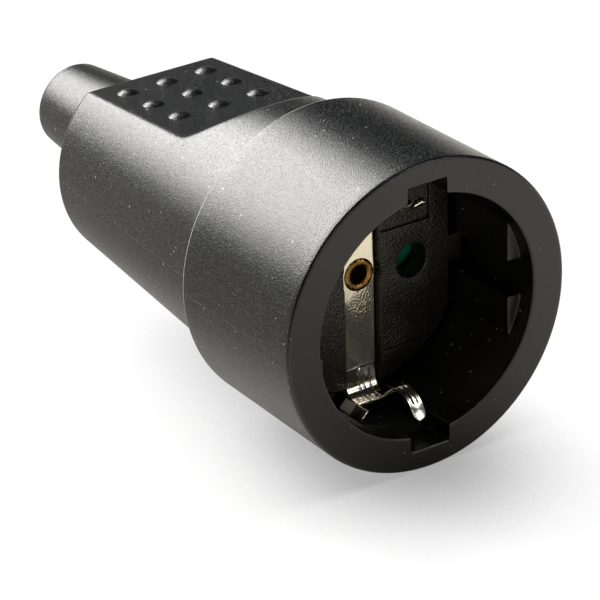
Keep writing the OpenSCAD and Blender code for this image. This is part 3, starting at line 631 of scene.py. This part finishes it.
def grain_group():
    """Fine moulded grain: noise and round pits as a height, and broad noise as slow changes of shade and
    roughness."""
    group, given, result = node_group("fine grain", [
        ("Size", "Float"), ("Colour", "Color"), ("Shade change", "Float"), ("Roughness", "Float"),
        ("Roughness change", "Float"), ("Depth", "Float")],
        [("Colour", "Color"), ("Roughness", "Float"), ("Normal", "Vector")])
    nodes, links = group.nodes, group.links
    where = nodes.new("ShaderNodeTexCoord").outputs["Object"]
    scale = maths(group, "DIVIDE", 1 / MM, given["Size"])
    fine = noise_at(group, where, scale, 1)
    fine.inputs["Roughness"].default_value = 0.62
    pits = nodes.new("ShaderNodeTexVoronoi")
    links.new(where, pits.inputs["Vector"])
    links.new(scale, pits.inputs["Scale"])
    bump = nodes.new("ShaderNodeBump")
    bump.inputs["Strength"].default_value = 1
    links.new(maths(group, "MULTIPLY", given["Depth"], MM), bump.inputs["Distance"])
    height = maths(group, "MULTIPLY_ADD", pits.outputs["Distance"], 0.55, fine.outputs["Fac"])
    links.new(height, bump.inputs["Height"])
    links.new(bump.outputs[0], result["Normal"])
    broad = noise_at(group, where, 140, 4)
    centred = maths(group, "SUBTRACT", broad.outputs["Fac"], 0.5)
    rough = maths(group, "MULTIPLY_ADD", centred, given["Roughness change"], given["Roughness"])
    links.new(rough, result["Roughness"])
    tint = nodes.new("ShaderNodeVectorMath")
    tint.operation = "SCALE"
    links.new(given["Colour"], tint.inputs[0])
    links.new(maths(group, "MULTIPLY_ADD", centred, given["Shade change"], 1), tint.inputs["Scale"])
    links.new(tint.outputs[0], result["Colour"])
    return group


GRAIN = grain_group()


def dust_group():
    """Specks of dust: small round spots at the points of a cell pattern, of which only some are kept."""
    group, given, result = node_group("dust specks", [
        ("Spacing", "Float"), ("Speck radius", "Float"), ("Share", "Float")], [("Mask", "Float")])
    cells = group.nodes.new("ShaderNodeTexVoronoi")
    group.links.new(group.nodes.new("ShaderNodeTexCoord").outputs["Object"], cells.inputs["Vector"])
    group.links.new(maths(group, "DIVIDE", 1 / MM, given["Spacing"]), cells.inputs["Scale"])
    parts = group.nodes.new("ShaderNodeSeparateColor")
    group.links.new(cells.outputs["Color"], parts.inputs[0])
    size = maths(group, "DIVIDE", given["Speck radius"], given["Spacing"])
    size = maths(group, "MULTIPLY", size, maths(group, "ADD", parts.outputs[1], 0.5))
    inside = maths(group, "LESS_THAN", cells.outputs["Distance"], size)
    kept = maths(group, "LESS_THAN", parts.outputs[0], given["Share"])
    group.links.new(maths(group, "MULTIPLY", inside, kept), result["Mask"])
    return group


DUST = dust_group()


def painted(material, mask, colour):
    """Lays a colour over a material where a mask is 1."""
    tree = material.node_tree
    shader = tree.nodes["Principled BSDF"]
    over = tree.nodes.new("ShaderNodeMix")
    over.data_type = "RGBA"
    over.inputs[7].default_value = (*colour, 1)
    tree.links.new(shader.inputs["Base Color"].links[0].from_socket, over.inputs[6])
    tree.links.new(mask, over.inputs[0])
    tree.links.new(over.outputs[2], shader.inputs["Base Color"])


def embossed(material, height, depth):
    """Adds a height to a material's own normal. depth is in millimetres."""
    tree = material.node_tree
    shader = tree.nodes["Principled BSDF"]
    bump = tree.nodes.new("ShaderNodeBump")
    bump.inputs["Strength"].default_value = 1
    bump.inputs["Distance"].default_value = depth * MM
    tree.links.new(height, bump.inputs["Height"])
    tree.links.new(shader.inputs["Normal"].links[0].from_socket, bump.inputs["Normal"])
    tree.links.new(bump.outputs[0], shader.inputs["Normal"])


def squares(tree, a, b):
    """The sum of two values' squares."""
    return maths(tree, "ADD", maths(tree, "MULTIPLY", a, a), maths(tree, "MULTIPLY", b, b))


def beyond_radius(tree, x, z, radius):
    """1 where a place is further from the socket's axis than a radius in millimetres."""
    height = maths(tree, "SUBTRACT", z, AXIS_Z)
    return maths(tree, "GREATER_THAN", squares(tree, x, height), (radius * MM) ** 2)


def painted_glint_specks(material, size, colour):
    """Mixes a second, paler colour into a material's own by fine noise: painted glints, bright specks that
    stand in for the sparkle of its grain where it mirrors no lamp. The rim and the recess, which are
    smoother, have none."""
    tree = material.node_tree
    where, x, y, z = object_place(tree)
    outside_r = 22.8
    noise = noise_at(tree, where, 1 / (size * MM), 0)
    stretch = tree.nodes.new("ShaderNodeMapRange")
    for socket, value in (("From Min", 0.48), ("From Max", 0.72)):
        stretch.inputs[socket].default_value = value
    tree.links.new(noise.outputs["Fac"], stretch.inputs["Value"])
    behind_rim = maths(tree, "GREATER_THAN", y, MOUTH_Y + RIM_DEPTH * MM)
    behind_recess = maths(tree, "GREATER_THAN", y, MOUTH_Y + SEAT_Y * MM)
    skin = maths(tree, "MAXIMUM", behind_recess, beyond_radius(tree, x, z, outside_r))
    skin = maths(tree, "MULTIPLY", behind_rim, skin)
    painted(material, maths(tree, "MULTIPLY", stretch.outputs[0], skin), colour)


def dusty(material, spacing, radius, share):
    """Lays pale dust specks over a material."""
    specks = material.node_tree.nodes.new("ShaderNodeGroup")
    specks.node_tree = DUST
    specks.inputs["Spacing"].default_value = spacing
    specks.inputs["Speck radius"].default_value = radius
    specks.inputs["Share"].default_value = share
    painted(material, specks.outputs["Mask"], (0.42, 0.38, 0.29))


def seamed_with_edge_highlight(material):
    """Adds the mould's parting lines: a fine ridge where the level plane through the axis cuts the outside,
    and across the rim on its right side only. It also paints a pale line along the barrel's back edge, a
    painted highlight on the edge's rounding, not a seam."""
    tree = material.node_tree
    _, x, y, z = object_place(tree)
    half_ridge, ridge_height, half_highlight, rim_x, sleeve_x = 0.075, 0.17, 0.24, 20, 6.5
    off_level = maths(tree, "ABSOLUTE", maths(tree, "SUBTRACT", z, AXIS_Z))
    on_level = maths(tree, "LESS_THAN", off_level, half_ridge * MM)
    outside = maths(tree, "GREATER_THAN", y, MOUTH_Y + RIM_DEPTH * MM)
    rim_right = maths(tree, "GREATER_THAN", x, rim_x * MM)
    wide = maths(tree, "GREATER_THAN", maths(tree, "ABSOLUTE", x), sleeve_x * MM)
    skin = maths(tree, "MULTIPLY", maths(tree, "MAXIMUM", outside, rim_right), wide)
    embossed(material, maths(tree, "MULTIPLY", on_level, skin), ridge_height)
    # Painted highlight: a pale band of colour along the barrel's back edge, standing in for light caught by
    # its rounding
    step = maths(tree, "SUBTRACT", y, MOUTH_Y + (BARREL_LEN - half_highlight) * MM)
    on_highlit_edge = maths(tree, "LESS_THAN", maths(tree, "ABSOLUTE", step), half_highlight * MM)
    far_out = beyond_radius(tree, x, z, BARREL_BACK_R - 1)
    painted(material, maths(tree, "MULTIPLY", on_highlit_edge, far_out), (0.5, 0.5, 0.47))


def grained(name, colour, roughness, size, depth, shade=0.4, rough_change=0.15, metallic=0.0, specular=0.5,
            specular_tint=(1, 1, 1)):
    """A material whose colour, roughness and normal come from the fine grain. size and depth are in
    millimetres."""
    material, tree, shader = new_material(name, colour, roughness, metallic)
    shader.inputs["Specular IOR Level"].default_value = specular
    shader.inputs["Specular Tint"].default_value = (*specular_tint, 1)
    grain = tree.nodes.new("ShaderNodeGroup")
    grain.node_tree = GRAIN
    values = {"Size": size, "Colour": (*colour, 1), "Shade change": shade, "Roughness": roughness,
              "Roughness change": rough_change, "Depth": depth}
    for title, value in values.items():
        grain.inputs[title].default_value = value
    for title, socket in (("Colour", "Base Color"), ("Roughness", "Roughness"), ("Normal", "Normal")):
        tree.links.new(grain.outputs[title], shader.inputs[socket])
    return material


def hammered(material):
    """Small dents in the sheet below the rivet, where it was struck: noise held to an oval patch, on a face
    that leans back a little."""
    tree = material.node_tree
    where, x, _, z = object_place(tree)
    patch_x, patch_z, half_width, half_height, dent_size, dent_depth = 0.6, -5.2, 3.0, 3.9, 0.36, 0.12
    across = maths(tree, "DIVIDE", maths(tree, "SUBTRACT", x, patch_x * MM), half_width * MM)
    down = maths(tree, "DIVIDE", maths(tree, "SUBTRACT", z, AXIS_Z + patch_z * MM), half_height * MM)
    patch = maths(tree, "MAXIMUM", maths(tree, "SUBTRACT", 1.0, squares(tree, across, down)), 0.0)
    dents = noise_at(tree, where, 1 / (dent_size * MM), 1)
    # The slant starts at a line that runs up to the right, and grows softly below it
    slant_z, slant_rise, slant_reach, softness = -2.4, 0.6, 2.0, 0.6
    slant = maths(tree, "SUBTRACT", z, maths(tree, "MULTIPLY", x, slant_rise))
    slant = maths(tree, "DIVIDE", maths(tree, "SUBTRACT", AXIS_Z + slant_z * MM, slant), slant_reach * MM)
    slant = maths(tree, "MAXIMUM", slant, 0.0)
    slant = maths(tree, "DIVIDE", maths(tree, "MULTIPLY", slant, slant), maths(tree, "ADD", slant, softness))
    height = maths(tree, "SUBTRACT", maths(tree, "MULTIPLY", dents.outputs[0], patch), slant)
    embossed(material, height, dent_depth)


RUBBER = grained("matt black rubber", (0.001, 0.001, 0.0008), 0.29, size=0.18, depth=0.036,
                 rough_change=0.04, specular_tint=(1, 0.985, 0.94))
# Painted glints: fine pale specks in the rubber's colour
painted_glint_specks(RUBBER, 0.3, (0.048, 0.049, 0.048))
dusty(RUBBER, 1.7, 0.12, 0.5)
# Parting-line ridges, and a painted highlight along the barrel's back edge
seamed_with_edge_highlight(RUBBER)
FACE_PLASTIC = grained("spark eroded plastic", (0.008, 0.007, 0.005), 0.3, size=0.37, depth=0.12,
                       specular_tint=(1, 0.92, 0.8))
dusty(FACE_PLASTIC, 1.7, 0.08, 0.16)
BASE_PLASTIC = grained("smooth black plastic", (0.014, 0.013, 0.012), 0.4, size=0.4, depth=0.02)
GREEN = grained("green shutter plastic", (0.004, 0.21, 0.115), 0.3, size=0.5, depth=0.01)


def metal(name, colour, roughness, size, depth, shade=0.2, rough_change=0.2, metallic=1.0):
    """A metal with fine grain."""
    return grained(name, colour, roughness, size, depth, shade, rough_change, metallic)


NICKEL = metal("nickel plated sheet", (0.87, 0.81, 0.7), 0.17, 0.5, 0.004, 0.15, 0.15)
# Paler, duller plate for the ears' back facets: painted light, lighter than the front facets
PAINTED_LIGHT_EAR_NICKEL = metal("ear nickel with painted light", (0.85, 0.76, 0.62), 0.42, 0.5, 0.01, 0.6, 0.15, 0.25)
# Warmer plate with some diffuse colour for the strip's middle: painted light that lifts its shaded middle;
# its dents are a bump
PAINTED_LIGHT_STRIP_NICKEL = metal("strip nickel with painted light", (0.87, 0.78, 0.61), 0.18, 0.5, 0.004, 0.15, 0.15, 0.91)
hammered(PAINTED_LIGHT_STRIP_NICKEL)
RIVET_BRASS = metal("dull brass", (0.25, 0.13, 0.037), 0.27, 0.8, 0.09, 3.0, 0.6)
CONTACT_BRASS = metal("clean brass", (0.75, 0.54, 0.25), 0.25, 0.4, 0.01)
SPRING_STEEL = metal("drawn steel", (0.55, 0.55, 0.56), 0.28, 0.3, 0.01)
ZINC = metal("zinc plated steel", (0.62, 0.63, 0.66), 0.3, 0.35, 0.015, 0.25, 0.25)


def finish_piece(piece, material, body, slot):
    """Gives a piece its one material and the body that it moves with. slot is not used."""
    piece.data.materials.clear()
    piece.data.materials.append(material)
    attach(piece, body)
    return piece


body_piece = finish_piece(rubber_body(), RUBBER, "socket", "rubber")
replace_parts(body_piece, "housing")
bump_piece = finish_piece(grip_bumps(), RUBBER, "socket", "rubber")
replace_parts(bump_piece, "housing")

ROUNDED = [
    ("contact_face", 0.22, FACE_PLASTIC, "socket", "insert_plastic"),
    ("insert_base", 0.15, BASE_PLASTIC, "socket", "insert_plastic"),
    ("cord_clamp_base", 0.2, BASE_PLASTIC, "socket", "insert_plastic"),
    ("cord_clamp_saddle", 0.2, BASE_PLASTIC, "socket", "insert_plastic"),
    ("shutter", 0.15, GREEN, "shutter", "shutter_plastic"),
    ("centre_rivet", 0.05, RIVET_BRASS, "socket", "rivet_brass"),
    ("line_contact", 0.08, CONTACT_BRASS, "socket", "contact_brass"),
    ("neutral_contact", 0.08, CONTACT_BRASS, "socket", "contact_brass"),
    ("line_contact_clip", 0.08, SPRING_STEEL, "socket", "spring_wire"),
    ("neutral_contact_clip", 0.08, SPRING_STEEL, "socket", "spring_wire"),
    ("line_terminal", 0.2, CONTACT_BRASS, "socket", "contact_brass"),
    ("neutral_terminal", 0.2, CONTACT_BRASS, "socket", "contact_brass"),
    ("earth_terminal", 0.15, CONTACT_BRASS, "socket", "contact_brass"),
    ("line_terminal_screw", 0.1, ZINC, "socket", "zinc_steel"),
    ("neutral_terminal_screw", 0.1, ZINC, "socket", "zinc_steel"),
    ("earth_terminal_screw", 0.1, ZINC, "socket", "zinc_steel"),
    ("insert_screws", 0.1, ZINC, "socket", "zinc_steel"),
    ("cord_clamp_screws", 0.12, ZINC, "socket", "zinc_steel"),
]
for node, width, material, body, slot in ROUNDED:
    finish_piece(bevelled(node, width), material, body, slot)

# The strip's middle, between its fold lines, gets a warmer plate with some diffuse colour, painted light
# that lifts its shaded middle, and the ears' back facets get a paler, duller plate, painted light that makes
# them lighter than their front facets
strip = finish_piece(earth_strip(), NICKEL, "socket", "nickel_sheet")
strip.data.materials.append(PAINTED_LIGHT_STRIP_NICKEL)
strip.data.materials.append(PAINTED_LIGHT_EAR_NICKEL)
for polygon in strip.data.polygons:
    x, y, z = (np.array(polygon.center) - ORIGIN) / MM
    if x < -(STRIP_HALF + 0.02):
        polygon.material_index = 2 if y > EAR_BACK - EAR_FOLD else 0
    else:
        polygon.material_index = int(abs(z) < FOLD_Z)
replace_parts(strip, "earth_strip")
for node, s, body in (("earth_tongue_top", 1, "top_tongue"), ("earth_tongue_bottom", -1, "bottom_tongue")):
    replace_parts(finish_piece(earth_tongue(node + "_sheet", s), NICKEL, body, "nickel_sheet"), node)

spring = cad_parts["shutter_spring"]
for index in range(len(spring.data.materials)):
    spring.data.materials[index] = SPRING_STEEL


# Floor, light and camera

def by_camera(tree, rays, other, seen):
    """One colour for the camera's own rays and another for the rest."""
    mix = tree.nodes.new("ShaderNodeMix")
    mix.data_type = "RGBA"
    mix.inputs[6].default_value = (*other, 1)
    mix.inputs[7].default_value = (*seen, 1)
    tree.links.new(rays["Is Camera Ray"], mix.inputs[0])
    return mix.outputs[2]


def floor_sheet():
    """A pale floor, white to the camera, with the lamps' shadow and a painted close shadow round the object.
    """
    half = 3.0
    mesh = bpy.data.meshes.new("floor")
    corners = [(-half, -half, 0), (half, -half, 0), (half, half, 0), (-half, half, 0)]
    mesh.from_pydata(corners, [], [(0, 1, 2, 3)])
    floor = bpy.data.objects.new("floor", mesh)
    bpy.context.scene.collection.objects.link(floor)
    material, tree, shader = new_material("pale floor", (0.9, 0.87, 0.8), 0.9)
    shader.inputs["Specular IOR Level"].default_value = 0.0
    rays = tree.nodes.new("ShaderNodeLightPath").outputs
    # How much of the sky on the softbox's side is open at each place, stretched and held between two levels
    gain, offset, least, most, reach, softbox_way = 2.15, 0.47, 0.42, 1.04, 0.058, (0.1, 0.85, 0.52)
    near = tree.nodes.new("ShaderNodeAmbientOcclusion")
    near.samples = 12
    near.inputs["Distance"].default_value = reach
    towards = tree.nodes.new("ShaderNodeCombineXYZ")
    for socket, value in zip(towards.inputs, softbox_way):
        socket.default_value = value
    tree.links.new(towards.outputs[0], near.inputs["Normal"])
    open_sky = maths(tree, "SUBTRACT", maths(tree, "MULTIPLY", near.outputs["AO"], gain), offset)
    open_sky = maths(tree, "MINIMUM", maths(tree, "MAXIMUM", open_sky, least), most)
    # The glow that the camera sees, and a stronger and warmer one in reflections
    glow = tree.nodes.new("ShaderNodeEmission")
    extra = 0.7
    level = maths(tree, "SUBTRACT", 1 + extra, maths(tree, "MULTIPLY", rays["Is Camera Ray"], extra))
    level = maths(tree, "MULTIPLY", level, maths(tree, "MAXIMUM", open_sky, rays["Is Camera Ray"]))
    tree.links.new(maths(tree, "MULTIPLY", open_sky, level), glow.inputs["Strength"])
    tree.links.new(by_camera(tree, rays, (1, 0.95, 0.83), (1, 1, 1)), glow.inputs["Color"])
    # The lit floor, with painted shade: darker on the left behind the object and near it
    _, x, y, _ = object_place(tree)
    side = tree.nodes.new("ShaderNodeMapRange")
    side.interpolation_type = "SMOOTHSTEP"
    tree.links.new(maths(tree, "SUBTRACT", x, y), side.inputs["Value"])
    for socket, value in zip(("From Min", "From Max", "To Min", "To Max"), (-0.07, 0.05, 0.36, 1.0)):
        side.inputs[socket].default_value = value
    tint = tree.nodes.new("ShaderNodeVectorMath")
    tint.operation = "SCALE"
    tint.inputs[0].default_value = (0.95, 0.925, 0.88)
    tree.links.new(maths(tree, "MULTIPLY", side.outputs[0], open_sky), tint.inputs["Scale"])
    tree.links.new(tint.outputs[0], shader.inputs["Base Color"])
    # The glow's share: most of it to the camera, some in reflections and none in plain light
    camera_share, mirror_share = 0.93, 0.22
    mirrored = maths(tree, "MAXIMUM", rays["Is Glossy Ray"], rays["Is Transmission Ray"])
    share = maths(tree, "MULTIPLY", mirrored, maths(tree, "MULTIPLY", side.outputs[0], mirror_share))
    mixed = tree.nodes.new("ShaderNodeMixShader")
    tree.links.new(maths(tree, "MULTIPLY_ADD", rays["Is Camera Ray"], camera_share, share), mixed.inputs[0])
    tree.links.new(shader.outputs[0], mixed.inputs[1])
    tree.links.new(glow.outputs[0], mixed.inputs[2])
    tree.links.new(mixed.outputs[0], tree.nodes["Material Output"].inputs["Surface"])
    mesh.materials.append(material)


def turned(right, up, back, where):
    """A matrix that places an object with the given axes."""
    rows = [(*row, at) for row, at in zip(np.stack([right, up, back], axis=1), where)]
    return Matrix(rows + [(0, 0, 0, 1)])


def rolled(right, up, angle):
    """Two axes, rolled about the third by an angle."""
    return math.cos(angle) * right + math.sin(angle) * up, math.cos(angle) * up - math.sin(angle) * right


def area_light(name, where, target, size, watts, roll=0.0):
    """A soft lamp at a place, facing a target, both in metres, and rolled about the line between them."""
    data = bpy.data.lights.new(name, "AREA")
    data.shape = "RECTANGLE"
    data.size, data.size_y = size
    data.energy = watts
    lamp = bpy.data.objects.new(name, data)
    back = np.array(where, float) - np.array(target, float)
    back /= np.linalg.norm(back)
    right = np.cross((0, 0, 1), back)
    right /= np.linalg.norm(right)
    lamp.matrix_world = turned(*rolled(right, np.cross(back, right), math.radians(roll)), back, where)
    bpy.context.scene.collection.objects.link(lamp)


def world_light():
    """An even surround: white to the camera, and a weak cool light to everything else."""
    world = bpy.data.worlds.new("surround")
    bpy.context.scene.world = world
    world.use_nodes = True
    tree = world.node_tree
    background = tree.nodes["Background"]
    rays = tree.nodes.new("ShaderNodeLightPath").outputs
    tree.links.new(by_camera(tree, rays, (0.82, 0.95, 1), (1, 1, 1)), background.inputs["Color"])
    weak = 0.05
    strength = maths(tree, "MULTIPLY_ADD", rays["Is Camera Ray"], 1 - weak, weak)
    tree.links.new(strength, background.inputs["Strength"])


# The camera stands where the photograph's stood, from a fit of its rims, slots and holes: its place in
# millimetres, its angles in degrees and its focal length in the picture's pixels
CAMERA_AT = (-313.408, -434.129, 266.909)
CAMERA_YAW = 33.766
CAMERA_PITCH = 26.215
CAMERA_ROLL = -1.54
FOCAL_PIXELS = 3991.153
PICTURE_PIXELS = 600
SENSOR = 36.0


def photo_camera():
    """The camera: yaw from +Y towards +X, pitch down and roll, as a turned and placed matrix."""
    yaw, pitch, roll = (math.radians(v) for v in (CAMERA_YAW, CAMERA_PITCH, CAMERA_ROLL))
    ahead = np.array([math.sin(yaw) * math.cos(pitch), math.cos(yaw) * math.cos(pitch), -math.sin(pitch)])
    level = np.array([math.cos(yaw), -math.sin(yaw), 0.0])
    data = bpy.data.cameras.new("camera")
    data.sensor_width = SENSOR
    data.lens = FOCAL_PIXELS / PICTURE_PIXELS * SENSOR
    data.clip_start = 0.01
    camera = bpy.data.objects.new("camera", data)
    camera.matrix_world = turned(*rolled(level, np.cross(level, ahead), roll), -ahead, place(CAMERA_AT))
    bpy.context.scene.collection.objects.link(camera)
    bpy.context.scene.camera = camera


floor_sheet()
world_light()
area_light("softbox behind the left shoulder", (-0.24, 0.894, 0.586), (0, 0, 0.03), (0.95, 0.46), 25, -24)
area_light("wide weak lamp in front", (-0.32, -1.0, 0.5), (0, 0, 0.02), (0.55, 0.5), 1.6)
area_light("small lamp above the front right", (0.5, -0.42, 0.73), (0, -0.04, 0.02), (0.35, 0.35), 1.6)
area_light("pale card in front on the right", (0.5, -0.86, 0.27), (0, -0.03, 0.02), (0.3, 0.5), 1.35)
photo_camera()
bpy.context.scene.view_settings.view_transform = "Standard"
